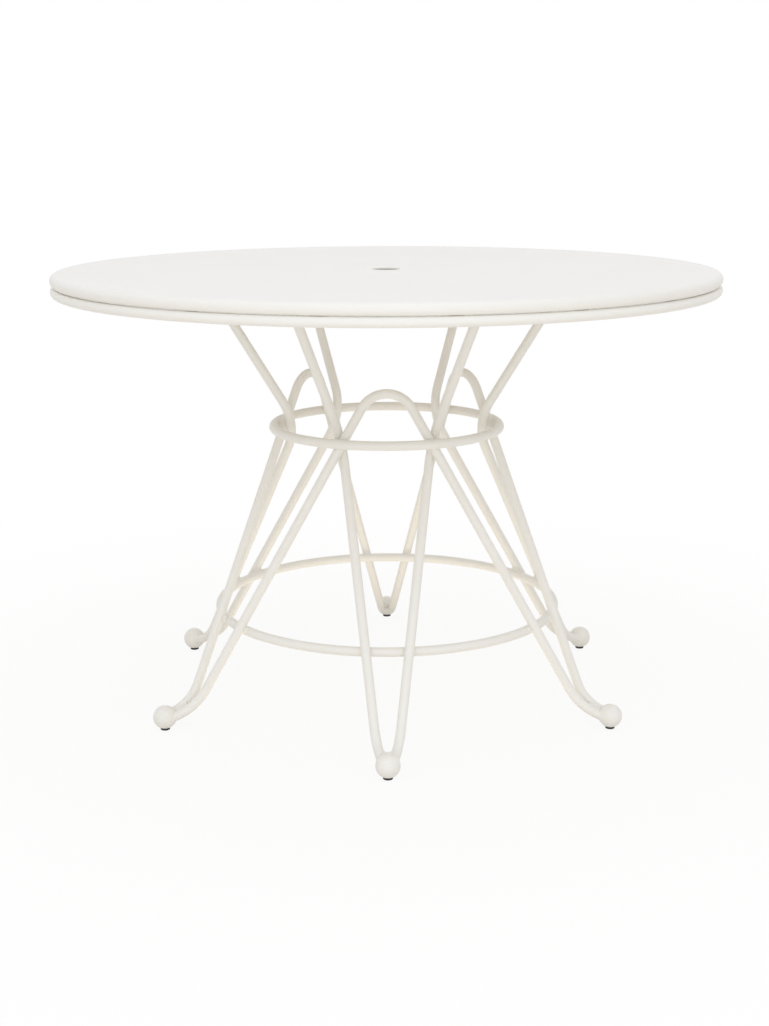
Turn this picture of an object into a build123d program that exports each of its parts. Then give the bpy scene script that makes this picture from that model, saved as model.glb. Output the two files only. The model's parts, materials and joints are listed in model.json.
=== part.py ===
from build123d import *

import math
import os

# A round outdoor dining table on a cage of bent round bar, in millimetres.
# The origin is on the floor under the middle of the top, +Z is up and the front is towards -Y.
# Angles round the table start at the front and grow towards +X.
# Feet stand every 60 degrees. Odd feet carry a pair of uprights, which rise to the top.
# Even feet carry one leg each of two neighbouring hairpin arches.

# Overall sizes
TOP_DIAMETER = 1143.0
TABLE_HEIGHT = 760.0
ROD_DIAMETER = 16.0
TOUCH_GAP = 0.1  # left between welded pieces that touch along a line or at a point

# Tabletop: pressed sheet with a rolled edge, a return flange and an umbrella hole
SHEET_THICKNESS = 2.5
EDGE_DEPTH = 20.0
FLANGE_WIDTH = 30.0
UMBRELLA_HOLE_DIAMETER = 50.8
HOLE_ROUNDING = 2.0
SLEEVE_WALL = 4.0
SLEEVE_LENGTH = 37.5
SLEEVE_CHAMFER = 1.0

# Box-section ribs under the sheet
RIB_WIDTH = 25.0
RIB_WALL = 2.0

# Mounting plates, their screws and the threaded inserts in the ribs
PLATE_LENGTH = 90.0
PLATE_WIDTH = 40.0
PLATE_THICKNESS = 5.0
PLATE_CORNER = 8.0
SCREW_SPACING = 60.0
SCREW_DIAMETER = 6.0
SCREW_LENGTH = 15.0
SCREW_HEAD_DIAMETER = 11.0
SCREW_HEAD_HEIGHT = 3.5
SCREW_HEAD_ROUNDING = 1.5
SCREW_CLEARANCE = 0.3
INSERT_WALL = 1.5
INSERT_LENGTH = 11.0
THREAD_CLEARANCE = 0.05

# Rings of the base, at the rod's centre line
WAIST_RADIUS = 199.0
WAIST_HEIGHT = 486.0
LOWER_RADIUS = 300.5
LOWER_HEIGHT = 163.5

# Hairpin arches: half angles where a leg passes the rings, and the bend at the crown
ARCH_WAIST_ANGLE = 23.8
ARCH_LOWER_ANGLE = 53.0
CROWN_BEND = 48.0

# Uprights: angles from their foot at each bend, where they meet the top, and the bend at the waist
UPRIGHT_LOWER_ANGLE = 6.25
UPRIGHT_WAIST_ANGLE = 28.65
UPRIGHT_TOP_ANGLE = 30.0
UPRIGHT_TOP_RADIUS = 309.0
WAIST_BEND = 93.0

# Feet: balls outside the lower ring, which the rods reach in pairs through a bend to the horizontal
FOOT_REACH = 137.0  # from the lower ring's centre line out to the middle of the ball
BALL_DIAMETER = 40.0
TOE_BEND = 80.0
PAIR_GAP = 4.0  # between the two rods where they enter the ball

# Levelling glides: a black pad moulded on a threaded stud
PAD_DIAMETER = 16.0
PAD_THICKNESS = 4.8
PAD_ROUNDING = 1.2
FLAT_MARGIN = 2.5  # the flat under the ball is wider than the pad by this, all round
SEAT_GAP = 0.3  # between pad and ball when the glide is screwed fully in
STUD_DIAMETER = 8.0
STUD_CLEARANCE = 0.05
STUD_ENGAGEMENT = 16.0
STUD_HEAD_DIAMETER = 11.0
STUD_HEAD_THICKNESS = 2.0
STUD_HEAD_COVER = 1.4  # pad material under the stud's head
STUD_CHAMFER = 0.8
BALL_HOLE_SPARE = 2.0  # hole left above the end of the stud

# Counts
FEET = 6
ARCHES = 3
FOOT_STEP = 360 / FEET
ARCH_STEP = 360 / ARCHES
SEATING_ROUNDS = 12

# Values worked out from the sizes above
TOP_RADIUS = TOP_DIAMETER / 2
ROD_RADIUS = ROD_DIAMETER / 2
BALL_RADIUS = BALL_DIAMETER / 2
FOOT_RADIUS = LOWER_RADIUS + FOOT_REACH
HOLE_RADIUS = UMBRELLA_HOLE_DIAMETER / 2
SLEEVE_RADIUS = HOLE_RADIUS + SLEEVE_WALL
EDGE_RADIUS = EDGE_DEPTH / 2
SHEET_UNDERSIDE = TABLE_HEIGHT - SHEET_THICKNESS
EDGE_UNDERSIDE = TABLE_HEIGHT - EDGE_DEPTH
PLATE_UNDERSIDE = EDGE_UNDERSIDE - PLATE_THICKNESS
RIB_HEIGHT = EDGE_DEPTH - SHEET_THICKNESS
FLANGE_INNER_RADIUS = TOP_RADIUS - EDGE_RADIUS - FLANGE_WIDTH
INSERT_RADIUS = SCREW_DIAMETER / 2 + THREAD_CLEARANCE + INSERT_WALL
PAD_RADIUS = PAD_DIAMETER / 2
FLAT_RADIUS = PAD_RADIUS + FLAT_MARGIN
FLAT_DROP = math.sqrt(BALL_RADIUS**2 - FLAT_RADIUS**2)
FLAT_HEIGHT = PAD_THICKNESS + SEAT_GAP
BALL_HEIGHT = FLAT_HEIGHT + FLAT_DROP
STUD_BOTTOM = STUD_HEAD_COVER
STUD_TOP = FLAT_HEIGHT + STUD_ENGAGEMENT
TOUCH_DISTANCE = ROD_DIAMETER + TOUCH_GAP  # between the centre lines of two rods that touch


def polar(radius, angle, height):
    """Point at a radius from the table's axis, an angle round from the front and a height."""
    turn = math.radians(angle)
    return Vector(radius * math.sin(turn), -radius * math.cos(turn), height)


def outward(angle):
    """Level unit vector that points away from the table's axis at an angle."""
    return polar(1, angle, 0)


def sideways(angle):
    """Level unit vector along the circle, towards growing angles."""
    return outward(angle + 90)


def mirrored(point):
    """The same point on the other side of the table's front-to-back plane."""
    return Vector(-point.X, point.Y, point.Z)


def ring_line(radius, height):
    """Centre line of a level ring."""
    return Edge.make_circle(radius, Plane.XY.offset(height))


def at_height(low, high, height):
    """Point at a height on the line through two points."""
    return low + (high - low) * ((height - low.Z) / (high.Z - low.Z))


def toe(low, high, foot_angle, side):
    """Corner and end of a leg's toe: the leg comes down to the ball's centre height and turns level.

    From there it aims at the point where it enters the ball, beside its partner, and runs on
    into the ball, or for as long as the bend needs. What lies inside the ball is trimmed off later.
    """
    corner = at_height(low, high, BALL_HEIGHT)
    offset = (ROD_DIAMETER + PAIR_GAP) / 2
    reach = FOOT_RADIUS - math.sqrt(BALL_RADIUS**2 - offset**2)
    entry = polar(reach, foot_angle, BALL_HEIGHT) + sideways(foot_angle) * (side * offset)
    aim = (entry - corner).normalized()
    turn = math.radians((low - high).get_angle(aim))
    run = max(TOE_BEND * math.tan(turn / 2), (entry - corner).length)
    end = corner + aim * (run + ROD_RADIUS)
    return corner, end


def seated_arch():
    """Points of the front arch, whose legs touch the waist ring inside and the lower ring outside.

    The distance of a leg from each ring is measured, and the leg moved by what is missing,
    until both are one rod apart.
    """
    waist_stand = TOUCH_DISTANCE
    lower_stand = TOUCH_DISTANCE
    for _ in range(SEATING_ROUNDS):
        high = polar(WAIST_RADIUS - waist_stand, ARCH_WAIST_ANGLE, WAIST_HEIGHT)
        low = polar(LOWER_RADIUS + lower_stand, ARCH_LOWER_ANGLE, LOWER_HEIGHT)
        peak = low + (high - low) * (low.X / (low.X - high.X))
        leg = Edge.make_line(low, peak)
        waist_stand += TOUCH_DISTANCE - leg.distance_to(ring_line(WAIST_RADIUS, WAIST_HEIGHT))
        lower_stand += TOUCH_DISTANCE - leg.distance_to(ring_line(LOWER_RADIUS, LOWER_HEIGHT))
    corner, end = toe(low, high, FOOT_STEP, -1)
    return leg, [mirrored(end), mirrored(corner), peak, corner, end]


def seated_upright(arch_leg):
    """Points of the front foot's upright on the +X side, from its toe to above its mounting plate.

    It touches the lower ring outside, and at the waist its bend touches the arch's leg inside.
    """
    top = polar(UPRIGHT_TOP_RADIUS, UPRIGHT_TOP_ANGLE, PLATE_UNDERSIDE)
    waist_stand = 2 * TOUCH_DISTANCE
    lower_stand = TOUCH_DISTANCE
    for _ in range(SEATING_ROUNDS):
        bend = polar(WAIST_RADIUS - waist_stand, UPRIGHT_WAIST_ANGLE, WAIST_HEIGHT)
        low = polar(LOWER_RADIUS + lower_stand, UPRIGHT_LOWER_ANGLE, LOWER_HEIGHT)
        with BuildLine() as trial:
            FilletPolyline(low, bend, top, radius=[WAIST_BEND])
        line = trial.wires()[0]
        waist_stand += TOUCH_DISTANCE - line.distance_to(arch_leg)
        lower_stand += TOUCH_DISTANCE - line.distance_to(ring_line(LOWER_RADIUS, LOWER_HEIGHT))
    corner, end = toe(low, bend, 0, 1)
    above = at_height(bend, top, PLATE_UNDERSIDE + ROD_DIAMETER)
    return [end, corner, bend, above]


def turned(points, angle):
    """Points turned about the table's axis."""
    return [point.rotate(Axis.Z, angle) for point in points]


def trim_to_ball(foot_angle):
    """Cope the rod in hand to the ball of a foot: drop what lies past the ball's centre or inside it."""
    centre = polar(FOOT_RADIUS, foot_angle, BALL_HEIGHT)
    split(bisect_by=Plane(centre, z_dir=outward(foot_angle)), keep=Keep.BOTTOM)
    with Locations(centre):
        Sphere(BALL_RADIUS + TOUCH_GAP, mode=Mode.SUBTRACT)


def finish(builder, name):
    """Label a finished piece and write it to its own file."""
    builder.part.label = name
    export_step(builder.part, f"parts/{name}.step")


os.makedirs("parts", exist_ok=True)

arch_leg, arch_points = seated_arch()
upright_points = seated_upright(arch_leg)
mirrored_upright_points = [mirrored(point) for point in upright_points]
foot_angles = [index * FOOT_STEP for index in range(FEET)]
upright_sides = [(foot_angle, side) for foot_angle in foot_angles[::2] for side in (-1, 1)]
rib_angles = [foot_angle + side * UPRIGHT_TOP_ANGLE for foot_angle, side in upright_sides]

# Tabletop: one revolved section of sheet, rolled round the edge and turned back underneath
with BuildPart() as tabletop:
    with BuildSketch(Plane.XZ):
        with BuildLine():
            roll_start = (TOP_RADIUS - EDGE_RADIUS, TABLE_HEIGHT)
            roll_end = (TOP_RADIUS - EDGE_RADIUS, EDGE_UNDERSIDE)
            roll_nose = (TOP_RADIUS, TABLE_HEIGHT - EDGE_RADIUS)
            inner_start = (TOP_RADIUS - EDGE_RADIUS, EDGE_UNDERSIDE + SHEET_THICKNESS)
            inner_nose = (TOP_RADIUS - SHEET_THICKNESS, TABLE_HEIGHT - EDGE_RADIUS)
            inner_end = (TOP_RADIUS - EDGE_RADIUS, SHEET_UNDERSIDE)
            hole_lip = (HOLE_RADIUS + HOLE_ROUNDING, TABLE_HEIGHT)
            hole_wall = (HOLE_RADIUS, TABLE_HEIGHT - HOLE_ROUNDING)
            Line(hole_lip, roll_start)
            ThreePointArc(roll_start, roll_nose, roll_end)
            Polyline(
                roll_end,
                (FLANGE_INNER_RADIUS, EDGE_UNDERSIDE),
                (FLANGE_INNER_RADIUS, EDGE_UNDERSIDE + SHEET_THICKNESS),
                inner_start,
            )
            ThreePointArc(inner_start, inner_nose, inner_end)
            Polyline(inner_end, (HOLE_RADIUS, SHEET_UNDERSIDE), hole_wall)
            RadiusArc(hole_wall, hole_lip, HOLE_ROUNDING)
        make_face()
    revolve(axis=Axis.Z)
finish(tabletop, "tabletop")

# Umbrella sleeve: a short pipe that carries the hole's wall on down below the sheet
with BuildPart() as umbrella_sleeve:
    with BuildSketch(Plane.XY.offset(SHEET_UNDERSIDE)):
        Circle(SLEEVE_RADIUS)
        Circle(HOLE_RADIUS, mode=Mode.SUBTRACT)
    extrude(amount=-SLEEVE_LENGTH)
    mouth = umbrella_sleeve.edges().filter_by(GeomType.CIRCLE).group_by(Axis.Z)[0]
    chamfer(mouth, SLEEVE_CHAMFER)
finish(umbrella_sleeve, "umbrella_sleeve")

# Ribs: six box sections from the sleeve to the return flange, each above an upright
rib_start = SLEEVE_RADIUS + TOUCH_GAP
rib_end = math.sqrt((FLANGE_INNER_RADIUS - TOUCH_GAP) ** 2 - (RIB_WIDTH / 2) ** 2)
rib_middle_height = (SHEET_UNDERSIDE + EDGE_UNDERSIDE) / 2
screw_radii = [UPRIGHT_TOP_RADIUS - SCREW_SPACING / 2, UPRIGHT_TOP_RADIUS + SCREW_SPACING / 2]
for number, angle in enumerate(rib_angles, start=1):
    across = Plane(polar(rib_start, angle, rib_middle_height), x_dir=sideways(angle), z_dir=outward(angle))
    with BuildPart() as top_rib:
        with BuildSketch(across):
            Rectangle(RIB_WIDTH, RIB_HEIGHT)
            Rectangle(RIB_WIDTH - 2 * RIB_WALL, RIB_HEIGHT - 2 * RIB_WALL, mode=Mode.SUBTRACT)
        extrude(amount=rib_end - rib_start)
        with BuildSketch(Plane.XY.offset(EDGE_UNDERSIDE)):
            with Locations(*[polar(radius, angle, 0) for radius in screw_radii]):
                Circle(INSERT_RADIUS + THREAD_CLEARANCE)
        extrude(amount=RIB_WALL, mode=Mode.SUBTRACT)
    finish(top_rib, f"top_rib_{number}")

# Rim ring: the same bar as the base, rolled to the size of the top and welded under its edge
rim_height = EDGE_UNDERSIDE - TOUCH_GAP - ROD_RADIUS
with BuildPart() as rim_ring:
    with Locations((0, 0, rim_height)):
        Torus(TOP_RADIUS - ROD_RADIUS, ROD_RADIUS)
finish(rim_ring, "rim_ring")

# Mounting plates: one on the head of each upright, with a screw hole each side of the rod
for number, angle in enumerate(rib_angles, start=1):
    upright_head = polar(UPRIGHT_TOP_RADIUS, angle, PLATE_UNDERSIDE)
    under_rib = Plane(upright_head, x_dir=outward(angle), z_dir=(0, 0, 1))
    with BuildPart() as mount_plate:
        with BuildSketch(under_rib):
            RectangleRounded(PLATE_LENGTH, PLATE_WIDTH, PLATE_CORNER)
            with GridLocations(SCREW_SPACING, 0, 2, 1):
                Circle(SCREW_DIAMETER / 2 + SCREW_CLEARANCE, mode=Mode.SUBTRACT)
        extrude(amount=PLATE_THICKNESS)
    finish(mount_plate, f"mount_plate_{number}")

# Screws: two to a plate, pan heads underneath, up through the plate into the rib's inserts
screw_places = [polar(radius, angle, PLATE_UNDERSIDE) for angle in rib_angles for radius in screw_radii]
with BuildPart() as mount_screws:
    with Locations(*screw_places):
        down = (Align.CENTER, Align.CENTER, Align.MAX)
        up = (Align.CENTER, Align.CENTER, Align.MIN)
        Cylinder(SCREW_HEAD_DIAMETER / 2, SCREW_HEAD_HEIGHT, align=down)
        Cylinder(SCREW_DIAMETER / 2, SCREW_LENGTH, align=up)
    head_rims = mount_screws.edges().filter_by(GeomType.CIRCLE).group_by(Axis.Z)[0]
    fillet(head_rims, SCREW_HEAD_ROUNDING)
finish(mount_screws, "mount_screws")

# Threaded inserts: sleeves set in the ribs' lower walls, which the screws grip
with BuildPart() as rib_inserts:
    with BuildSketch(Plane.XY.offset(EDGE_UNDERSIDE)):
        with Locations(*[Vector(place.X, place.Y, 0) for place in screw_places]):
            Circle(INSERT_RADIUS)
            Circle(SCREW_DIAMETER / 2 + THREAD_CLEARANCE, mode=Mode.SUBTRACT)
    extrude(amount=INSERT_LENGTH)
finish(rib_inserts, "rib_inserts")

# Waist ring, outside the rods that it gathers
with BuildPart() as waist_ring:
    with Locations((0, 0, WAIST_HEIGHT)):
        Torus(WAIST_RADIUS, ROD_RADIUS)
finish(waist_ring, "waist_ring")

# Lower ring, inside the legs that it spreads
with BuildPart() as lower_ring:
    with Locations((0, 0, LOWER_HEIGHT)):
        Torus(LOWER_RADIUS, ROD_RADIUS)
finish(lower_ring, "lower_ring")

# Arches: hairpins whose legs straddle a pair of uprights and end on the feet to either side
for number in range(1, ARCHES + 1):
    angle = (number - 1) * ARCH_STEP
    with BuildPart() as arch:
        with BuildLine() as centre_line:
            FilletPolyline(*turned(arch_points, angle), radius=[TOE_BEND, CROWN_BEND, TOE_BEND])
        with BuildSketch(Plane(centre_line.line @ 0, z_dir=centre_line.line % 0)):
            Circle(ROD_RADIUS)
        sweep()
        trim_to_ball(angle - FOOT_STEP)
        trim_to_ball(angle + FOOT_STEP)
    finish(arch, f"arch_{number}")

# Uprights: a mirrored pair from each odd foot, bent at the waist and cut level under the plates
for number, (angle, side) in enumerate(upright_sides, start=1):
    points = upright_points if side > 0 else mirrored_upright_points
    with BuildPart() as upright:
        with BuildLine() as centre_line:
            FilletPolyline(*turned(points, angle), radius=[TOE_BEND, WAIST_BEND])
        with BuildSketch(Plane(centre_line.line @ 0, z_dir=centre_line.line % 0)):
            Circle(ROD_RADIUS)
        sweep()
        split(bisect_by=Plane.XY.offset(PLATE_UNDERSIDE), keep=Keep.BOTTOM)
        trim_to_ball(angle)
    finish(upright, f"upright_{number}")

# Feet: a ball flattened underneath and drilled for the glide, with a pad on a stud below it
for number, angle in enumerate(foot_angles, start=1):
    foot = polar(FOOT_RADIUS, angle, 0)
    with BuildPart() as ball_foot:
        with Locations(foot + Vector(0, 0, BALL_HEIGHT)):
            Sphere(BALL_RADIUS)
        split(bisect_by=Plane.XY.offset(FLAT_HEIGHT), keep=Keep.TOP)
        with BuildSketch(Plane.XY.offset(FLAT_HEIGHT)):
            with Locations(foot):
                Circle(STUD_DIAMETER / 2 + STUD_CLEARANCE)
        extrude(amount=STUD_ENGAGEMENT + BALL_HOLE_SPARE, mode=Mode.SUBTRACT)
    finish(ball_foot, f"ball_foot_{number}")

    with BuildPart() as glide_stud:
        with Locations(foot + Vector(0, 0, STUD_BOTTOM)):
            upwards = (Align.CENTER, Align.CENTER, Align.MIN)
            Cylinder(STUD_HEAD_DIAMETER / 2, STUD_HEAD_THICKNESS, align=upwards)
            Cylinder(STUD_DIAMETER / 2, STUD_TOP - STUD_BOTTOM, align=upwards)
        tip = glide_stud.edges().filter_by(GeomType.CIRCLE).group_by(Axis.Z)[-1]
        chamfer(tip, STUD_CHAMFER)
    finish(glide_stud, f"glide_stud_{number}")

    with BuildPart() as glide_pad:
        with BuildSketch(Plane.XY):
            with Locations(foot):
                Circle(PAD_RADIUS)
        extrude(amount=PAD_THICKNESS)
        fillet(glide_pad.edges().filter_by(GeomType.CIRCLE).group_by(Axis.Z)[0], PAD_ROUNDING)
        add(glide_stud.part, mode=Mode.SUBTRACT)
    finish(glide_pad, f"glide_pad_{number}")
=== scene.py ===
# %% [markdown]
# # A round patio table in ivory powder coat
#
# The table comes in as finished solids: a pressed top, a cage of bent round bar and six ball feet
# on levelling glides. Blender adds what a solid can't hold: the paint, the weld beads that join the
# bars, the threads, the light and the camera. Lengths are metres, +Z is up and the front is -Y.

# %% Load the frame
import json
import math

import bpy
import numpy as np
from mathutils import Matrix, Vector


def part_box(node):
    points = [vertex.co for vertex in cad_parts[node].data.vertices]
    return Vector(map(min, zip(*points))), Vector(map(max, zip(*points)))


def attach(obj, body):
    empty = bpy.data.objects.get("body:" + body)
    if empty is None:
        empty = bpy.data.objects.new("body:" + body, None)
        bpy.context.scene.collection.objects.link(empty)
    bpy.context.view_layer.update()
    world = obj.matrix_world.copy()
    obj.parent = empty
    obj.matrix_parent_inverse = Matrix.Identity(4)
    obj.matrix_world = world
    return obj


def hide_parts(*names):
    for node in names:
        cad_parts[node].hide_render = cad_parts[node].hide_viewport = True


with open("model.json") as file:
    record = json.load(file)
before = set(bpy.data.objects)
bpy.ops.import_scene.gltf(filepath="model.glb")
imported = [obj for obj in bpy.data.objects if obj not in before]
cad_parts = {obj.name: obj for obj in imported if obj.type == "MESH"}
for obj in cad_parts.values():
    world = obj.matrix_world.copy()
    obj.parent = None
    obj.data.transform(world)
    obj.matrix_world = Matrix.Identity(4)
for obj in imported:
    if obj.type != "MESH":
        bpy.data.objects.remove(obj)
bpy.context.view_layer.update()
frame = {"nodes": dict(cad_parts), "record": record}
nodes = frame["nodes"]
NUMBERS = range(1, 7)  # feet, uprights, ribs and mounting plates are all numbered like this

# %% [markdown]
# ## The camera
#
# The photograph was taken from about a metre above the floor and a little under three metres away,
# looking slightly down. A camera could be steered by eye until the picture fits. Here its place was
# worked out once from the ellipses of the top and of the two rings, whose flatness fixes height and
# tilt, and corrected by the small shifts that were left between render and photograph.
# The right side of the photograph hangs a little high, so the camera also rolls by a fifth of a
# degree: in ZYX order the roll comes first, about the line of sight, and the tilt after it.
# The sensor's width is measured along the picture's long side.

# %% Place the camera
CAMERA_PLACE = (-0.0042, -2.7949, 0.9897)
CAMERA_TILT_DOWN = math.radians(13.364)
CAMERA_ROLL = math.radians(-0.18)
CAMERA_LENS_MM = 56.28
SENSOR_MM = 36.0

camera_data = bpy.data.cameras.new("camera")
camera_data.lens = CAMERA_LENS_MM
camera_data.sensor_width = SENSOR_MM
camera = bpy.data.objects.new("camera", camera_data)
camera.location = CAMERA_PLACE
camera.rotation_mode = "ZYX"
camera.rotation_euler = (math.pi / 2 - CAMERA_TILT_DOWN, 0, CAMERA_ROLL)
bpy.context.scene.collection.objects.link(camera)
bpy.context.scene.camera = camera
print(f"camera {CAMERA_LENS_MM} mm, tilted {math.degrees(CAMERA_TILT_DOWN):.1f} degrees down")

# %% [markdown]
# ## A small kit for shader nodes
#
# A material is a graph. Written out link by link it hides its own idea, so one helper adds a node,
# sets its inputs and links whatever is passed as a socket, and a few more give the nodes that come
# up again and again. A value that is the same all over stays on the shader's own socket, and only
# what varies over the surface is linked.

# %% Helpers for node graphs
def add_node(tree, kind, settings=None, **inputs):
    """Add a shader node. An input is named, with _ for a space, or numbered as i0, i1 and so on.

    What is passed for it is either a socket, which is linked, or a constant.
    """
    node = tree.nodes.new(kind)
    for name, value in (settings or {}).items():
        setattr(node, name, value)
    for name, value in inputs.items():
        place = int(name[1:]) if name[0] == "i" and name[1:].isdigit() else name.replace("_", " ")
        if isinstance(value, bpy.types.NodeSocket):
            tree.links.new(value, node.inputs[place])
        else:
            node.inputs[place].default_value = value
    return node


def math_node(tree, operation, *values):
    """Socket with the result of a maximum, a product or another operation on values or sockets."""
    inputs = {f"i{place}": value for place, value in enumerate(values)}
    return add_node(tree, "ShaderNodeMath", {"operation": operation}, **inputs).outputs[0]


def length_of(tree, vector):
    """Socket with the length of a vector."""
    return add_node(tree, "ShaderNodeVectorMath", {"operation": "LENGTH"}, i0=vector).outputs["Value"]


def ranged(tree, value, source, target, curve="LINEAR"):
    """Socket with a value carried from one range to another and held at its ends."""
    return add_node(tree, "ShaderNodeMapRange", {"interpolation_type": curve}, Value=value,
                    From_Min=source[0], From_Max=source[1],
                    To_Min=target[0], To_Max=target[1]).outputs["Result"]


def mixed(tree, share, first, second):
    """Socket with a colour that goes from the first to the second as the share goes from 0 to 1."""
    mix = add_node(tree, "ShaderNodeMix", {"data_type": "RGBA"}, i0=share, i6=first, i7=second)
    return mix.outputs[2]


def noise(tree, place, **settings):
    """Socket with noise from 0 to 1 over the coordinates. A larger scale makes it finer."""
    return add_node(tree, "ShaderNodeTexNoise", Vector=place, **settings).outputs["Fac"]


def new_material(name):
    """An empty node material, its tree, its output node and its object coordinates."""
    material = bpy.data.materials.new(name)
    material.use_nodes = True
    tree = material.node_tree
    tree.nodes.clear()
    output = tree.nodes.new("ShaderNodeOutputMaterial")
    return material, tree, output, add_node(tree, "ShaderNodeTexCoord").outputs["Object"]


def add_surface(tree, output, colour, roughness, height, bump, depth, metallic=0.0):
    """Principled surface with a relief of the given depth in metres, at a strength from 0 to 1."""
    relief = add_node(tree, "ShaderNodeBump", Height=height, Strength=bump, Distance=depth)
    shader = add_node(tree, "ShaderNodeBsdfPrincipled", Base_Color=colour, Roughness=roughness,
                      Metallic=metallic, Normal=relief.outputs[0])
    tree.links.new(shader.outputs[0], output.inputs["Surface"])


# %% [markdown]
# ## The floor
#
# The table stands in a white studio sweep. A wall and floor bright enough to burn out would also
# flood the table with light, so they are lit plainly instead, and only what the camera sees
# directly, or mirrored, is shown as white. The floor itself is a pale cream, which warms the light
# that it throws back up into the shade. It keeps a share of its real shading for the camera too,
# as the soft shadow under the feet, and that share fades out towards the horizon.

# %% Floor
FLOOR_HALF = 30.0
FLOOR_COLOUR = (0.85, 0.82, 0.77, 1)
SHADOW_SHARE = 0.10
SHADOW_FADE = (0.3, 1.6)
WHITE = (1, 1, 1, 1)

floor_corners = FLOOR_HALF * np.array([(-1, -1, 0), (1, -1, 0), (1, 1, 0), (-1, 1, 0)])
floor_mesh = bpy.data.meshes.new("floor")
floor_mesh.from_pydata(floor_corners.tolist(), [], [(0, 1, 2, 3)])
floor = bpy.data.objects.new("floor", floor_mesh)
bpy.context.scene.collection.objects.link(floor)


def seen_directly(tree):
    """Socket that is 1 for rays that come from the camera, from gloss or through glass."""
    rays = add_node(tree, "ShaderNodeLightPath").outputs
    either = math_node(tree, "MAXIMUM", rays["Is Camera Ray"], rays["Is Glossy Ray"])
    return math_node(tree, "MAXIMUM", either, rays["Is Transmission Ray"])


paper, tree, output, place = new_material("studio_paper")
glow_share = ranged(tree, length_of(tree, place), SHADOW_FADE, (1 - SHADOW_SHARE, 1), "SMOOTHSTEP")
share = math_node(tree, "MULTIPLY", seen_directly(tree), glow_share)
matt = add_node(tree, "ShaderNodeBsdfDiffuse", Color=FLOOR_COLOUR)
glow = add_node(tree, "ShaderNodeEmission", Color=WHITE, Strength=1.0)
both = add_node(tree, "ShaderNodeMixShader", i0=share, i1=matt.outputs[0], i2=glow.outputs[0])
tree.links.new(both.outputs[0], output.inputs["Surface"])
floor_mesh.materials.append(paper)
print(f"floor of {2 * FLOOR_HALF:.0f} m, which keeps {SHADOW_SHARE:.0%} of its shade")

# %% [markdown]
# ## The walls
#
# The walls are the world's background, and they follow the same rule as the floor: white where
# they are seen directly, and the soft grey of a lit room for the light that they give the table.

# %% World
ROOM_LIGHT = (0.79, 0.785, 0.79, 1)

world = bpy.data.worlds.new("white_room")
bpy.context.scene.world = world
world.use_nodes = True
tree = world.node_tree
tree.nodes.clear()
walls = mixed(tree, seen_directly(tree), ROOM_LIGHT, WHITE)
sky = add_node(tree, "ShaderNodeBackground", Color=walls, Strength=1.0)
add_node(tree, "ShaderNodeOutputWorld", Surface=sky.outputs[0])
bpy.context.scene.view_settings.view_transform = "Standard"
print(f"white walls that shine with {ROOM_LIGHT[0]:.0%} of white")

# %% [markdown]
# ## The lamps
#
# The photograph is lit evenly: daylight from above and in front, a low strip that reaches in under
# the top, and what comes back up from the floor. Balancing such a set by eye goes round in circles.
# Light adds up, though, so the scene was rendered once under each lamp alone, and the strengths and
# tints below are the mix of those pictures that comes closest to the photograph at some forty
# places. The glow is a small panel on the floor that shines up, where the table's own shadow lies.

# %% Softboxes
LAMPS = {
    "overhead": {"place": (0, 0, 3.6), "aim": (0, 0, 0.5), "size": (3, 3),
                 "watts": 11.4, "colour": (0.82, 0.82, 1)},
    "front": {"place": (0, -2.8, 3.4), "aim": (0, 0, 0.5), "size": (4, 3),
              "watts": 27.2, "colour": (0.69, 0.82, 1)},
    "low_strip": {"place": (0, -3.3, 0.42), "aim": (0, 0, 0.42), "size": (3, 0.62),
                  "watts": 13.4, "colour": (0.97, 0.985, 1)},
    "glow": {"place": (0, 0, 0.002), "aim": (0, 0, 1), "size": (0.55, 0.55),
             "watts": 0.52, "colour": (1, 0.90, 0.71)},
}


def softbox(name, place, aim, size, watts, colour):
    """A rectangular area lamp at a place, facing the point that it aims at."""
    lamp = bpy.data.lights.new(name, "AREA")
    lamp.shape = "RECTANGLE"
    lamp.size, lamp.size_y = size
    lamp.energy = watts
    lamp.color = colour
    panel = bpy.data.objects.new(name, lamp)
    panel.location = place
    panel.rotation_euler = (Vector(place) - Vector(aim)).to_track_quat("Z", "Y").to_euler()
    bpy.context.scene.collection.objects.link(panel)


for name, lamp in LAMPS.items():
    softbox(name, **lamp)
print(f"{len(LAMPS)} softboxes: {', '.join(LAMPS)}")

# %% [markdown]
# ## Ivory powder coat
#
# Powder is sprayed on dry and melted into a skin about a tenth of a millimetre thick. As it flows
# it leaves a fine orange peel, so reflections ripple slightly, and its thickness and tone drift a
# little over a large piece. Three noises do this: a wide one for tone, one of about 1.6 mm
# for the peel and one of about a quarter of a millimetre for single grains. Thin places are the
# darker ones, and the peel also drives the roughness.

# %% Powder coat
IVORY_THIN = (0.865, 0.838, 0.775, 1)
IVORY_FULL = (0.890, 0.868, 0.815, 1)
DRIFT = {"Scale": 7.0, "Detail": 3.0}
PEEL = {"Scale": 620.0, "Detail": 2.0}
GRAIN = {"Scale": 3600.0, "Detail": 1.0}
GRAIN_SHARE = 0.25
PEEL_MIDDLE = (0.3, 0.7)
PEEL_BUMP = 0.7
PEEL_DEPTH = 0.0003
COAT_ROUGHNESS = (0.36, 0.46)


def make_powder_coat(name):
    """Satin powder coat: drifting tone, orange peel and fine grain, all on object coordinates."""
    material, tree, output, place = new_material(name)
    peel = noise(tree, place, **PEEL)
    tone = mixed(tree, noise(tree, place, **DRIFT), IVORY_THIN, IVORY_FULL)
    rough = ranged(tree, peel, PEEL_MIDDLE, COAT_ROUGHNESS)
    height = math_node(tree, "MULTIPLY_ADD", noise(tree, place, **GRAIN), GRAIN_SHARE, peel)
    add_surface(tree, output, tone, rough, height, PEEL_BUMP, PEEL_DEPTH)
    return material


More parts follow.
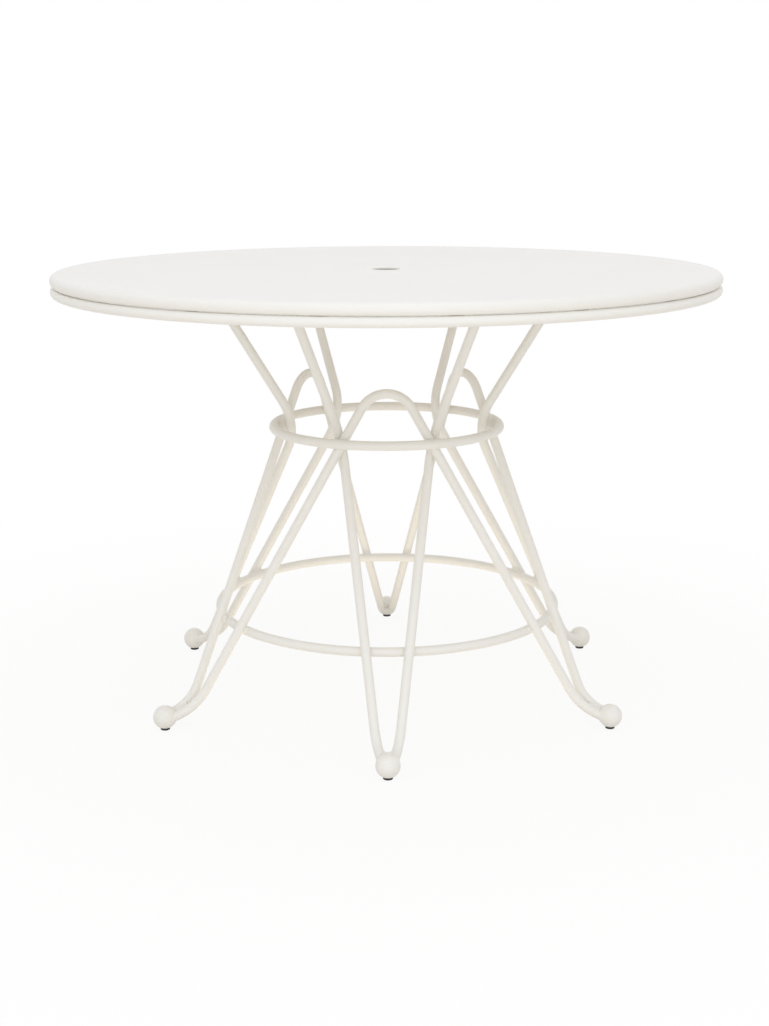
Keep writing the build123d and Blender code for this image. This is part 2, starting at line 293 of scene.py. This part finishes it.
powder_coat = make_powder_coat("ivory_powder_coat")
print(f"powder coat of {len(powder_coat.node_tree.nodes)} nodes")

# %% [markdown]
# ## Painted shade in the bore of the umbrella sleeve
#
# Little light reaches down a narrow pipe, so the shade in the bore is painted in as a dull, dark
# metal colour. From the front it is the thin dark line across the hole. The sleeve is one solid and
# takes one material, which starts as the powder coat. Where a point's distance from the table's axis
# is hardly more than the radius of the bore, which the record gives, the painted shade takes over.

# %% Sleeve finish
# The dark metal tone below is painted shade for the inside of the bore.
BORE_SHADE_TONE = (0.50, 0.49, 0.41, 1)
BORE_EDGE = 0.0005
umbrella_hole = next(mount for mount in frame["record"]["mounts"] if mount["name"] == "umbrella_hole")
BORE_RADIUS = umbrella_hole["dims"]["r_mm"] / 1000
BORE_FADE = (BORE_RADIUS + BORE_EDGE, BORE_RADIUS + 2 * BORE_EDGE)


def make_sleeve_finish(name):
    """Powder coat, with a dark tone of painted shade within a hair of the bore's radius from the axis."""
    material = make_powder_coat(name)
    tree = material.node_tree
    colour = tree.nodes["Principled BSDF"].inputs["Base Color"]
    coat = colour.links[0].from_socket
    place = add_node(tree, "ShaderNodeTexCoord").outputs["Object"]
    level = add_node(tree, "ShaderNodeVectorMath", {"operation": "MULTIPLY"}, i0=place, i1=(1, 1, 0))
    coated = ranged(tree, length_of(tree, level.outputs[0]), BORE_FADE, (0, 1))
    tree.links.new(mixed(tree, coated, BORE_SHADE_TONE, coat), colour)
    return material


sleeve_finish = make_sleeve_finish("sleeve_coat_and_bore")
# The bore's dark tone is painted shade.
print(f"bare bore of {2 * BORE_RADIUS * 1000:.1f} mm")

# %% [markdown]
# ## Zinc-plated steel and black nylon
#
# The screws, inserts and studs are plated steel: metallic, a little cloudy, with fine turning marks.
# The marks are a noise that is squeezed along the axis, so that it forms thin rings. The glide pads
# are moulded nylon, nearly black, with the dull skin that a spark-eroded mould gives.

# %% Steel and nylon
ZINC_DULL = (0.50, 0.51, 0.52, 1)
ZINC_BRIGHT = (0.68, 0.68, 0.67, 1)
ZINC_CLOUDS = {"Scale": 300.0, "Detail": 4.0}
ZINC_ROUGHNESS = (0.28, 0.45)
LATHE_SQUEEZE = (400, 400, 9000)
LATHE_MARKS = {"Scale": 1.0, "Detail": 1.0}
LATHE_BUMP = 0.2
LATHE_DEPTH = 0.00003
NYLON_DARK = (0.012, 0.012, 0.013, 1)
NYLON_GREY = (0.028, 0.028, 0.030, 1)
NYLON_PATCHES = {"Scale": 120.0, "Detail": 2.0}
NYLON_ROUGHNESS = (0.5, 0.7)
EROSION = {"Scale": 2200.0, "Detail": 3.0}
EROSION_BUMP = 0.4
EROSION_DEPTH = 0.00006


def make_zinc(name):
    """Plated steel with cloudy patches and a fine squeezed grain round the axis."""
    material, tree, output, place = new_material(name)
    cloud = noise(tree, place, **ZINC_CLOUDS)
    squeezed = add_node(tree, "ShaderNodeMapping", Vector=place, Scale=LATHE_SQUEEZE).outputs[0]
    add_surface(tree, output, mixed(tree, cloud, ZINC_DULL, ZINC_BRIGHT),
                ranged(tree, cloud, (0, 1), ZINC_ROUGHNESS),
                noise(tree, squeezed, **LATHE_MARKS), LATHE_BUMP, LATHE_DEPTH, metallic=1.0)
    return material


def make_nylon(name):
    """Moulded nylon: near black, with a fine eroded texture that also drives the roughness."""
    material, tree, output, place = new_material(name)
    erosion = noise(tree, place, **EROSION)
    add_surface(tree, output, mixed(tree, noise(tree, place, **NYLON_PATCHES), NYLON_DARK, NYLON_GREY),
                ranged(tree, erosion, (0, 1), NYLON_ROUGHNESS), erosion, EROSION_BUMP, EROSION_DEPTH)
    return material


FINISHES = {"ivory_paint": powder_coat,
            "zinc_steel": make_zinc("zinc_steel"),
            "black_nylon": make_nylon("black_nylon")}
print(f"finishes for the slots {', '.join(FINISHES)}")

# %% [markdown]
# ## Finish the solids
#
# The record says which slot each solid takes its finish from, so one dictionary from slot to
# material dresses all of them, and the sleeve then takes its own. The solids stay where they are.

# %% Dress the solids
for part in frame["record"]["subparts"]:
    mesh = nodes[part["node"]].data
    mesh.materials.clear()
    mesh.materials.append(FINISHES[part["material_slot"]])
nodes["umbrella_sleeve"].data.materials[0] = sleeve_finish

# %% [markdown]
# ## Find the bars' centre lines
#
# Every weld needs the centre lines of the bars that it joins, and they can be read off the solids.
# A bent bar is meshed finely round its bends, but a straight run has corners only at its two ends,
# so its triangles are long. The corners of the long triangles form a ring at each end of the run,
# and the middles of those two rings are the ends of its centre line.

# %% Straight runs
RUN_LEAST = 0.1
SAME_WAY = 0.999
SAME_PLACE_DIGITS = 6


def unit(vector):
    """The vector, or each row of an array of vectors, scaled to length one."""
    return vector / np.linalg.norm(vector, axis=-1, keepdims=True)


def corners_of(name):
    """Corners of a solid's triangles: an array of triangles by 3 corners by 3 coordinates."""
    mesh = nodes[name].data
    mesh.calc_loop_triangles()
    places = np.empty(len(mesh.vertices) * 3)
    picks = np.empty(len(mesh.loop_triangles) * 3, dtype=np.int32)
    mesh.vertices.foreach_get("co", places)
    mesh.loop_triangles.foreach_get("vertices", picks)
    return places.reshape(-1, 3)[picks].reshape(-1, 3, 3)


def straight_runs(name):
    """Straight runs of a bar, lowest first, each as the lower and upper end of its centre line.

    The longest edge of a long triangle points along its run. Edges that point the same way belong
    together, and the mean of their different lower ends is the middle of the lower ring.
    """
    corners = corners_of(name)
    edges = np.stack([corners, np.roll(corners, -1, axis=1)], axis=2)
    lengths = np.linalg.norm(edges[:, :, 1] - edges[:, :, 0], axis=2)
    ends = edges[np.arange(len(edges)), lengths.argmax(axis=1)][lengths.max(axis=1) > RUN_LEAST]
    ends = np.take_along_axis(ends, ends[:, :, 2:].argsort(axis=1), axis=1)
    ways = unit(ends[:, 1] - ends[:, 0])
    runs, left = [], np.ones(len(ends), bool)
    while left.any():
        same = left & (ways @ ways[left][0] > SAME_WAY)
        rings = (np.unique(ends[same, end].round(SAME_PLACE_DIGITS), axis=0) for end in (0, 1))
        runs.append([ring.mean(axis=0) for ring in rings])
        left &= ~same
    return sorted(runs, key=lambda run: run[0][2])


arch_legs = [leg for number in (1, 2, 3) for leg in straight_runs(f"arch_{number}")]
uprights = [straight_runs(f"upright_{number}") for number in NUMBERS]
lower_legs = arch_legs + [runs[0] for runs in uprights]
print(f"{len(arch_legs)} arch legs, and uprights of {[len(runs) for runs in uprights]} runs")

# %% [markdown]
# ## Bends between the runs
#
# Between two straight runs the bar follows an arc that leaves the first run and meets the second
# without a kink. Nothing more is needed to draw it: the gap between the two ends and the angle
# between the two directions fix its radius.

# %% Bends
BEND_STEPS = 2001


def bend_between(low, high):
    """Points and directions along the arc that joins two runs without a kink.

    With d the first run's direction, n square to it towards the second run and r the radius,
    the arc is start + r (sin t d + (1 - cos t) n), and its direction is cos t d + sin t n.
    """
    gap = high[0] - low[1]
    first, last = unit(low[1] - low[0]), unit(high[1] - high[0])
    turn = np.arccos(first @ last)
    radius = np.linalg.norm(gap) / (2 * np.sin(turn / 2))
    square = unit(gap - (gap @ first) * first)
    t = np.linspace(0, turn, BEND_STEPS)[:, None]
    points = low[1] + radius * (np.sin(t) * first + (1 - np.cos(t)) * square)
    return points, np.cos(t) * first + np.sin(t) * square


waist_bend, _ = bend_between(*uprights[0])
print(f"an upright's bend spans {np.linalg.norm(waist_bend[-1] - waist_bend[0]) * 1000:.0f} mm")

# %% [markdown]
# ## Skins over grids of points
#
# Each weld is computed as a grid of points, whole arrays at a time. The columns go round the
# piece and close on themselves. The rows either close as well, which makes a ring, or end in two
# caps. The signed volume tells whether the faces look outwards, and if it is negative they are
# turned over. All the shells of one kind become one piece, which rides on a body of the table.

# %% Helpers for new pieces
CREASE = math.radians(50)


def shell(grid, ring):
    """Points and faces of a closed skin over a grid, whose rows close to a ring or end in caps."""
    number = np.arange(grid.shape[0] * grid.shape[1]).reshape(grid.shape[:2])
    below = np.roll(number, -1, axis=0)
    here, below = (number, below) if ring else (number[:-1], below[:-1])
    quads = np.stack([here, np.roll(here, -1, 1), np.roll(below, -1, 1), below], -1).reshape(-1, 4)
    points = grid.reshape(-1, 3)
    a, b, c, d = (points[quads[:, i]] - points.mean(axis=0) for i in range(4))
    volume = np.einsum("ij,ij->", a, np.cross(b, c) + np.cross(c, d))
    faces = quads.tolist() + ([] if ring else [number[0, ::-1].tolist(), number[-1].tolist()])
    return points, faces if volume > 0 else [face[::-1] for face in faces]


def make_piece(name, shells, body="table", slot="ivory_paint"):
    """One object from several shells, smooth but for its creases, which rides on a body."""
    starts = np.cumsum([0] + [len(points) for points, _ in shells])
    faces = [[start + i for i in face] for start, (_, some) in zip(starts, shells) for face in some]
    mesh = bpy.data.meshes.new(name)
    mesh.from_pydata(np.concatenate([points for points, _ in shells]).tolist(), [], faces)
    mesh.shade_smooth()
    mesh.set_sharp_from_angle(angle=CREASE)
    mesh.materials.append(FINISHES[slot])
    piece = bpy.data.objects.new(name, mesh)
    bpy.context.scene.collection.objects.link(piece)
    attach(piece, body)
    print(f"{name}: {len(shells)} shells, {len(faces)} faces on {body}")
    return piece


# %% [markdown]
# ## Weld beads where bars cross
#
# Two round bars touch at one point, and the gap between them opens in every direction from there,
# fast across a bar and slowly along it. A welder fills that gap until it is a few millimetres
# wide, which gives a bead with four lobes. So the outline isn't drawn: at each angle round the
# contact, halving finds the distance at which the gap between the bars has the bead's width.
# Small ripples round the bead are what each dip of the filler rod leaves.

# %% Saddle bead
UP = np.array([0, 0, 1.0])
ROD_RADIUS = (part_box("waist_ring")[1][2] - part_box("waist_ring")[0][2]) / 2
BEAD_WIDTH = 0.0045
BEAD_REACH = 0.012
BEAD_TOE = 0.0012
BEAD_ROWS = 9
SINK = 0.00015  # how deep the edges of a weld lie in the metal
ROUND = 132
RIPPLES = 22
RIPPLE_SHARE = 0.018
FLANK = 0.985  # beyond this share of the radius to the side, a bar's surface is held level
HALVINGS = 30


def saddle_weld(bar_a, bar_b):
    """Bead round the contact of two crossing bars, each given as a point and a direction.

    At distance q and angle p from the contact, a bar at angle b lies q |sin(p - b)| to the side,
    and its surface is sqrt(R^2 - side^2) from its axis. The face stands where the gap has the
    bead's width, and is hollow: its distance grows by the toe times (2 s - 1)^2 from edge to edge.
    """
    (point_a, way_a), (point_b, way_b) = bar_a, bar_b
    up = unit(point_b - point_a)
    half = np.linalg.norm(point_b - point_a) / 2
    u = unit(way_a - (way_a @ up) * up)
    v = np.cross(up, u)
    p = np.linspace(0, 2 * np.pi, ROUND, endpoint=False)
    turn_b = np.arctan2(way_b @ v, way_b @ u)

    def surfaces(q):
        """Heights of the two bars' surfaces at a distance from the contact."""
        side = [np.minimum(q * abs(np.sin(p - turn)), FLANK * ROD_RADIUS) for turn in (0, turn_b)]
        low, high = (half - np.sqrt(ROD_RADIUS**2 - d**2) for d in side)
        return -low, high

    near, far = np.zeros(ROUND), np.full(ROUND, BEAD_REACH)
    for _ in range(HALVINGS):
        q = (near + far) / 2
        low, high = surfaces(q)
        near, far = np.where(high - low < BEAD_WIDTH, (q, far), (near, q))
    q = far * (1 + RIPPLE_SHARE * np.cos(RIPPLES * p))
    low, high = surfaces(q + BEAD_TOE)
    s = np.linspace(0, 1, BEAD_ROWS)[:, None]
    core_low, core_high = surfaces(q / 2)
    out = np.vstack([q + BEAD_TOE * (2 * s - 1) ** 2, q / 2, q / 2])
    rise = np.vstack([low - SINK + s * (high - low + 2 * SINK), core_high + SINK, core_low - SINK])
    level = np.cos(p)[:, None] * u + np.sin(p)[:, None] * v
    return shell((point_a + point_b) / 2 + out[..., None] * level + rise[..., None] * up, ring=True)


print(f"bead {BEAD_WIDTH * 1000:.1f} mm wide for a bar of {2 * ROD_RADIUS * 1000:.1f} mm")

# %% [markdown]
# ## Where the bars touch
#
# A leg is straight where it passes a ring, so the contact is the nearest of many points along it.
# At the waist it is the bend of an upright that touches a leg. There the points run along the
# bend, each is dropped square onto every leg, and the shortest drop is the contact.

# %% Saddle welds
RUN_STEPS = 4001


def ring_line(ring):
    """Radius and height of the centre line of a level ring."""
    low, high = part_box(ring)
    return (high[0] - low[0]) / 2 - ROD_RADIUS, (low[2] + high[2]) / 2


def ring_contact(run, ring):
    """Where a straight run comes nearest to a ring: a point and a direction on each of the two."""
    radius, height = ring_line(ring)
    points = run[0] + np.linspace(0, 1, RUN_STEPS)[:, None] * (run[1] - run[0])
    out = np.hypot(points[:, 0], points[:, 1])
    nearest = np.hypot(out - radius, points[:, 2] - height).argmin()
    x, y = points[nearest, :2] / out[nearest]
    on_ring = np.array([x * radius, y * radius, height]), np.array([-y, x, 0.0])
    return (points[nearest], unit(run[1] - run[0])), on_ring


def waist_contact(runs):
    """Where an upright's bend comes nearest to a leg of an arch: a point and a direction on each."""
    points, ways = bend_between(*runs)
    found = []
    for low, high in arch_legs:
        way = unit(high - low)
        feet = low + ((points - low) @ way)[:, None] * way
        nearest = np.linalg.norm(points - feet, axis=1).argmin()
        found.append((np.linalg.norm(points[nearest] - feet[nearest]), nearest, feet[nearest], way))
    _, nearest, foot, way = min(found, key=lambda one: one[0])
    return (points[nearest], ways[nearest]), (foot, way)


make_piece("welds_waist_ring", [saddle_weld(*ring_contact(leg, "waist_ring")) for leg in arch_legs])
make_piece("welds_lower_ring", [saddle_weld(*ring_contact(leg, "lower_ring")) for leg in lower_legs])
make_piece("welds_waist_bends", [saddle_weld(*waist_contact(runs)) for runs in uprights])

# %% [markdown]
# ## Fillets where a bar ends
#
# A bar that ends on something flat or round is welded all round its edge. Three points carry the
# fillet at each angle: one on the bar, one where the two surfaces meet, and one on the other
# piece. A quadratic curve through that triangle gives the hollow face, and the skin closes inside
# the metal. The plates under the top come first: there an upright's head is cut level, so that its
# edge is an ellipse.

# %% Plate welds
LEG = 0.0035
DEPTH = 0.0022
COLLAR_ROWS = 8
COLLAR_TURN = np.linspace(0, 2 * np.pi, ROUND // 2, endpoint=False)[:, None]
STEEP = 0.9  # a direction that rises more than this is too near to UP to be crossed with it


def frame_round(way):
    """Unit vectors square to a direction, at equal steps round it."""
    side = unit(np.cross(way, UP) if abs(way[2]) < STEEP else np.cross(way, (1, 0, 0)))
    return np.cos(COLLAR_TURN) * side + np.sin(COLLAR_TURN) * np.cross(way, side)


def collar_weld(edge, out, way, foot, into):
    """Fillet round a bar's end: (1 - s)^2 bar + 2 s (1 - s) edge + s^2 foot, for s from 0 to 1.

    edge is where the bar's surface meets the other piece, out points away from the bar's axis,
    way along the bar towards the other piece, and into from the foot of the fillet into that piece.
    """
    s = np.linspace(0, 1, COLLAR_ROWS)[:, None, None]
    bar = edge - LEG * way - SINK * out
    face = (1 - s) ** 2 * bar + 2 * s * (1 - s) * edge + s**2 * (foot + SINK * into)
    inside = np.stack([edge + DEPTH * (into - out), bar - DEPTH * out])
    return shell(np.concatenate([face, inside]), ring=True)


def plate_weld(runs):
    """Fillet under a mounting plate. Each ray from the bar's axis is slid along the bar to be level."""
    head, way = runs[1][1], unit(runs[1][1] - runs[1][0])
    out = frame_round(way)
    edge = head + ROD_RADIUS * (out - out[:, 2:] / way[2] * way)
    level = unit(out * (1, 1, 0))
    return collar_weld(edge, out, way, edge + LEG * level, UP)


make_piece("welds_plates", [plate_weld(runs) for runs in uprights])

# %% [markdown]
# ## Fillets where the bars enter the balls
#
# A foot's two bars are still bending as they enter its ball, and they enter beside its middle, so
# the line where bar and ball meet is no circle. The bend is rebuilt first, from the leg above and
# the way the toe points. Then the skin of the bent bar is laid out as a grid, and along each of
# its lines the point that lies on the sphere is picked.

# %% Ball welds
PAIR_GAP = 0.004
TOE_REACH = 0.1


def ball_of(number):
    """Centre and radius of a foot's ball, which is cut flat underneath but whole above."""
    low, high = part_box(f"ball_foot_{number}")
    radius = (high[0] - low[0]) / 2
    return np.array([(low[0] + high[0]) / 2, (low[1] + high[1]) / 2, high[2] - radius]), radius


def toes_of(number):
    """The two bars that enter a ball, each as points and directions along its bend, from the ball up.

    A leg's line meets the height of the ball's centre at a corner. The toe aims level from there at
    the ball, beside its partner, and its bend starts as far from the corner as the straight leg does.
    """
    centre, radius = ball_of(number)
    out = unit(centre * (1, 1, 0))
    side = np.cross(UP, out)
    offset = ROD_RADIUS + PAIR_GAP / 2
    toes = {}
    for low, high in lower_legs:
        corner = low + (high - low) * ((centre[2] - low[2]) / (high[2] - low[2]))
        if np.linalg.norm(corner - centre) < TOE_REACH:
            hand = np.sign((corner - centre) @ side)
            entry = centre - out * math.sqrt(radius**2 - offset**2) + side * (hand * offset)
            way = unit(entry - corner)
            start = corner + way * np.linalg.norm(corner - low)
            toes[hand] = bend_between((start + way, start), (low, high))
    return toes[-1], toes[1]


def ball_weld(number, points, ways):
    """Fillet where a bent bar enters a ball.

    The bar's skin at the turn p is its centre line plus R (cos p a + sin p w x a), with a the axis
    of the bend and w the direction of the bar. Of each line along the skin, the point whose distance
    from the ball's centre is nearest to the ball's radius is the edge.
    """
    centre, radius = ball_of(number)
    axis = unit(np.cross(ways[0], ways[-1]))
    rays = np.cos(COLLAR_TURN) * axis + np.sin(COLLAR_TURN) * np.cross(ways, axis)[:, None]
    skin = points[:, None] + ROD_RADIUS * rays
    row = abs(np.linalg.norm(skin - centre, axis=2) - radius).argmin(axis=0)
    column = np.arange(len(row))
    edge, out = skin[row, column], rays[row, column]
    normal = unit(edge - centre)
    across = unit(out - (out * normal).sum(axis=1, keepdims=True) * normal)
    foot = centre + radius * unit(edge + LEG * across - centre)
    return collar_weld(edge, out, -ways[row], foot, -unit(foot - centre))


make_piece("welds_balls", [ball_weld(number, *toe) for number in NUMBERS for toe in toes_of(number)])

# %% [markdown]
# ## The fillet round the umbrella sleeve
#
# The sleeve stands square under the sheet, so its edge is a circle, and the same collar closes the
# joint under the hole.

# %% Sleeve weld
def sleeve_weld():
    """Fillet round the umbrella sleeve, under the sheet."""
    low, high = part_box("umbrella_sleeve")
    out = frame_round(UP)
    edge = out * (high[0] - low[0]) / 2 + UP * high[2]
    return collar_weld(edge, out, UP, edge + LEG * out, UP)


make_piece("weld_sleeve", [sleeve_weld()])

# %% [markdown]
# ## The web between two toes
#
# The two bars of a foot run side by side into its ball, a few millimetres apart. The welder bridges
# that slot from above, as far as the filler spans it, so that the fork between the bars ends in a
# round U. Under the web the slot stays open, as a dark hole between the bars. The web is a lens:
# its top hangs from bar to bar, and its two faces run together towards the U.

# %% Webs at the feet
WEB_START = 0.013
WEB_END = 0.042
WEB_SPAN = 0.0105
WEB_CLIMB = math.radians(75)
WEB_NOSE = math.radians(35)
WEB_HOLLOW = 0.0045
WEB_SAG = 0.15
WEB_SINK = 0.0003
WEB_ROWS = 13
WEB_COLUMNS = 29


def toe_web(number):
    """Web between a foot's bars. e runs from bar to bar, -1 to 1, and p round the lens, 0 to pi.

    The distance from the ball's centre grows with sin p, to the end in the middle and by the hollow
    further at the bars. A face leaves each bar at an angle from the line between the two axes: the
    climb on top, where p is 0, the nose's at the end and 0 underneath. Just under the bar's skin it
    stands r sin(angle) above that line, less the sag in the middle.
    """
    centre, _ = ball_of(number)
    (points_a, ways_a), (points_b, ways_b) = toes_of(number)
    inwards = (centre - (points_a + points_b) / 2) @ unit(centre * (1, 1, 0))
    slot = np.linalg.norm(points_b - points_a, axis=1) - 2 * ROD_RADIUS
    end = min(WEB_END, inwards[(slot > WEB_SPAN).argmax()])
    e = np.linspace(-1, 1, WEB_ROWS)[:, None]
    p = np.linspace(0, np.pi, WEB_COLUMNS)
    pick = np.searchsorted(inwards, WEB_START + (end - WEB_START + WEB_HOLLOW * e**2) * np.sin(p))
    apart = points_b[pick] - points_a[pick]
    across = unit(apart)
    up = unit(np.cross(across, ways_a[pick] + ways_b[pick]))
    angle = WEB_NOSE + np.where(p < np.pi / 2, WEB_CLIMB - WEB_NOSE, WEB_NOSE) * np.cos(p)
    skin = ROD_RADIUS - WEB_SINK
    wide = e * (np.linalg.norm(apart, axis=-1) / 2 - skin * np.cos(angle))
    tall = skin * np.sin(angle) * (1 - WEB_SAG * (1 - e**2))
    grid = points_a[pick] + apart / 2 + wide[..., None] * across + tall[..., None] * up
    return shell(grid, ring=False)


make_piece("webs_balls", [toe_web(number) for number in NUMBERS])

# %% [markdown]
# ## Stitches under the rim
#
# Thin sheet warps if it is welded all along, so the rim ring and the ribs are held to the top by
# short stitches with gaps between them. A stitch is a small fillet whose legs swell and shrink
# along its length as the half circle k = sqrt(1 - t^2), with t from end to end. Each section is
# the same hollow curve as on the collars, and it closes at its root, inside the metal. Under the
# rim the stitches sit on the inner side of the ring, where nobody sees them from above.

# %% Rim tacks
STITCH_ENDS = 0.98  # of the half length, short of 1 so that the end caps keep some width
STITCH_STATIONS = 15
STITCH_ROWS = 7
ALONG = np.linspace(-STITCH_ENDS, STITCH_ENDS, STITCH_STATIONS)[:, None]
SWELL = np.sqrt(1 - ALONG**2)
RIM_TACKS = 18
RIM_TACK_LENGTH = 0.025
RIM_ROOT = math.radians(25)
RIM_CLIMB = math.radians(30)
RIM_REACH = 0.005


def stitch_weld(bar, corner, foot, root):
    """Bead along its stations: (1 - s)^2 bar + 2 s (1 - s) corner + s^2 foot, closed at its root."""
    s = np.linspace(0, 1, STITCH_ROWS)[:, None, None]
    face = (1 - s) ** 2 * bar + 2 * s * (1 - s) * corner + s**2 * foot
    return shell(np.concatenate([face, root]).transpose(1, 0, 2), ring=False)


def rim_tack(middle):
    """Stitch between the rim ring and the flange above it, on the inner side.

    The ring's surface at the angle a from its top is R sin a nearer to the table's axis than its
    centre line, and R cos a above it.
    """
    radius, height = ring_line("rim_ring")
    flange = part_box("tabletop")[0][2]
    turn = middle + ALONG * RIM_TACK_LENGTH / 2 / radius
    out = np.concatenate([np.sin(turn), -np.cos(turn), np.zeros_like(turn)], axis=1)
    skin = ROD_RADIUS - SINK

    def on_ring(a):
        """Points just under the ring's surface."""
        return out * (radius - skin * np.sin(a)) + UP * (height + skin * np.cos(a))

    def on_flange(inwards):
        """Points just inside the flange."""
        return out * (radius - ROD_RADIUS * np.sin(RIM_ROOT) - inwards) + UP * (flange + SINK)

    corner, foot = on_flange(0) - 2 * SINK * UP, on_flange(RIM_REACH * SWELL)
    root = np.stack([on_flange(0), on_ring(RIM_ROOT)])
    return stitch_weld(on_ring(RIM_ROOT + RIM_CLIMB * SWELL), corner, foot, root)


tack_turns = (np.arange(RIM_TACKS) + 0.5) * 2 * np.pi / RIM_TACKS
make_piece("tacks_rim", [rim_tack(turn) for turn in tack_turns])

# %% [markdown]
# ## Stitches beside the ribs
#
# A rib is a straight box that runs outwards from the sleeve under the sheet. Both of its walls get
# three stitches, near the sleeve, in the middle and near the rim. Two of the ribs' boxes are
# exactly as wide as the rib, because those ribs lie along X, and the width is taken from there.

# %% Rib stitches
RIB_STITCH_LENGTH = 0.03
RIB_STITCH_MIDDLES = (0.10, 0.285, 0.47)
RIB_LEG = 0.004
rib_boxes = [np.array(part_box(f"top_rib_{number}")) for number in NUMBERS]
RIB_WIDTH = min(high[1] - low[1] for low, high in rib_boxes)


def rib_stitch(rib_box, middle, side):
    """Stitch in the corner between a rib's wall and the sheet, at a distance from the axis."""
    low, high = rib_box
    out = unit((low + high) * (1, 1, 0))
    wall = np.cross(UP, out) * side
    corner = out * (middle + ALONG * RIB_STITCH_LENGTH / 2) + wall * RIB_WIDTH / 2 + UP * high[2]
    bar = corner - RIB_LEG * SWELL * UP - SINK * wall
    foot = corner + RIB_LEG * SWELL * wall + SINK * UP
    return stitch_weld(bar, corner, foot, (corner + SINK * (UP - wall))[None])


make_piece("stitches_ribs", [rib_stitch(box, middle, side) for box in rib_boxes
                             for middle in RIB_STITCH_MIDDLES for side in (-1, 1)])

# %% [markdown]
# ## Threads
#
# The solids give the fasteners as plain cylinders. Here they are turned once more, as rows of
# points round an axis. In the rows of a thread, the radius of a point depends on how far it is
# from the nearest ridge of the helix, in turns.

# %% Threads
COLUMNS = 36
TURN = np.linspace(0, 2 * np.pi, COLUMNS, endpoint=False)
ROWS_PER_PITCH = 8
RIDGE_FLAT = 0.06  # half the flat top of a ridge, in turns
RIDGE_FLANK = 0.32  # from there to the bottom of the groove, in turns
GROOVE_DEPTH = 0.6  # of the pitch
MM = 0.001
POINT_BEVEL = 0.8 * MM


def circle(radius):
    """The same distance from the axis at every turn."""
    return np.full(COLUMNS, radius)


def thread(radius, pitch, low, high):
    """Rows of a thread, as heights and distances from the axis.

    At a height z and a turn p, the distance to the nearest ridge is that of z / pitch - p / 2 pi to a
    whole number. The groove runs out at the low end, and the tip is bevelled.
    """
    z = np.linspace(low, high, round((high - low) / pitch * ROWS_PER_PITCH) + 1)[:, None]
    turns = z / pitch - TURN / (2 * np.pi)
    flank = np.clip((abs(turns - turns.round()) - RIDGE_FLAT) / RIDGE_FLANK, 0, 1)
    groove = GROOVE_DEPTH * pitch * (flank * np.clip((z - low) / pitch, 0, 1))
    bevel = np.clip(z - high + POINT_BEVEL, 0, None)
    return list(zip(z[:, 0], radius - np.maximum(groove, bevel)))


def turned(place, rows):
    """Closed skin over rows of points round an upright axis through a place."""
    z, distance = np.array([height for height, _ in rows]), np.stack([row for _, row in rows])
    round_axis = np.stack([np.cos(TURN), np.sin(TURN), np.zeros(COLUMNS)], axis=1)
    return shell(place + distance[..., None] * round_axis + z[:, None, None] * UP, ring=False)


print(f"threads with {ROWS_PER_PITCH} rows to a pitch and {COLUMNS} columns round the axis")

# %% [markdown]
# ## Socket screws
#
# A screw's head is rounded and gets the hexagon socket for the key. Two screws hold each mounting
# plate, one on either side of the upright, heads down.

# %% Screws
SCREW_PITCH = 1.0 * MM
SCREW_RADIUS = 3.0 * MM
SCREW_LENGTH = 15.0 * MM
SCREW_SPREAD = 30.0 * MM
HEAD_RADIUS = 5.5 * MM
HEAD_HEIGHT = 3.5 * MM
HEAD_ROUNDING = 1.5 * MM
HEAD_ROUND_ROWS = 7
SOCKET_HALF = 2.0 * MM
SOCKET_DEPTH = 2.0 * MM
SOCKET_BEVEL = 0.2 * MM


def hexagon(half):
    """Distance to a hexagon's sides: half its width over the cosine of the angle from a side's middle."""
    return half / np.cos(TURN % (np.pi / 3) - np.pi / 6)


def screw(place):
    """Socket screw, head down: from the socket's floor round the head and up the thread."""
    head = [(-HEAD_HEIGHT + SOCKET_DEPTH, hexagon(SOCKET_HALF)),
            (-HEAD_HEIGHT + SOCKET_BEVEL, hexagon(SOCKET_HALF)),
            (-HEAD_HEIGHT, hexagon(SOCKET_HALF + SOCKET_BEVEL))]
    head += [(-HEAD_HEIGHT + HEAD_ROUNDING * (1 - math.cos(a)),
              circle(HEAD_RADIUS - HEAD_ROUNDING * (1 - math.sin(a))))
             for a in np.linspace(0, np.pi / 2, HEAD_ROUND_ROWS)]
    head += [(0, circle(HEAD_RADIUS)), (0, circle(SCREW_RADIUS))]
    return turned(place, head + thread(SCREW_RADIUS, SCREW_PITCH, 0, SCREW_LENGTH)[1:])


plate_boxes = [np.array(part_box(f"mount_plate_{number}")) for number in NUMBERS]
screw_places = [(low + high) / 2 * (1, 1, 0) + low * UP + shift * unit((low + high) * (1, 1, 0))
                for low, high in plate_boxes for shift in (-SCREW_SPREAD, SCREW_SPREAD)]
screws = make_piece("socket_screws", [screw(place) for place in screw_places], slot="zinc_steel")
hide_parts("mount_screws")

# %% [markdown]
# ## Levelling studs
#
# A stud has a flat head, which the pad is moulded round, and a thread that shows when its glide is
# screwed out. It rides on the body of its own glide, so that it travels with the pad.

# %% Studs
STUD_PITCH = 1.25 * MM
STUD_RADIUS = 4.0 * MM
STUD_HEAD_HEIGHT = 2.0 * MM


def stud(number):
    """Levelling stud: the flat head, and a thread up to the tip."""
    low, high = np.array(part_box(f"glide_stud_{number}"))
    place = (low + high) / 2 * (1, 1, 0) + low * UP
    head = circle((high[0] - low[0]) / 2)
    rows = [(0, head), (STUD_HEAD_HEIGHT, head), (STUD_HEAD_HEIGHT, circle(STUD_RADIUS))]
    return turned(place, rows + thread(STUD_RADIUS, STUD_PITCH, STUD_HEAD_HEIGHT, high[2] - low[2])[1:])


for number in NUMBERS:
    threaded = make_piece(f"threaded_stud_{number}", [stud(number)], f"glide_{number}", "zinc_steel")
    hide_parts(f"glide_stud_{number}")
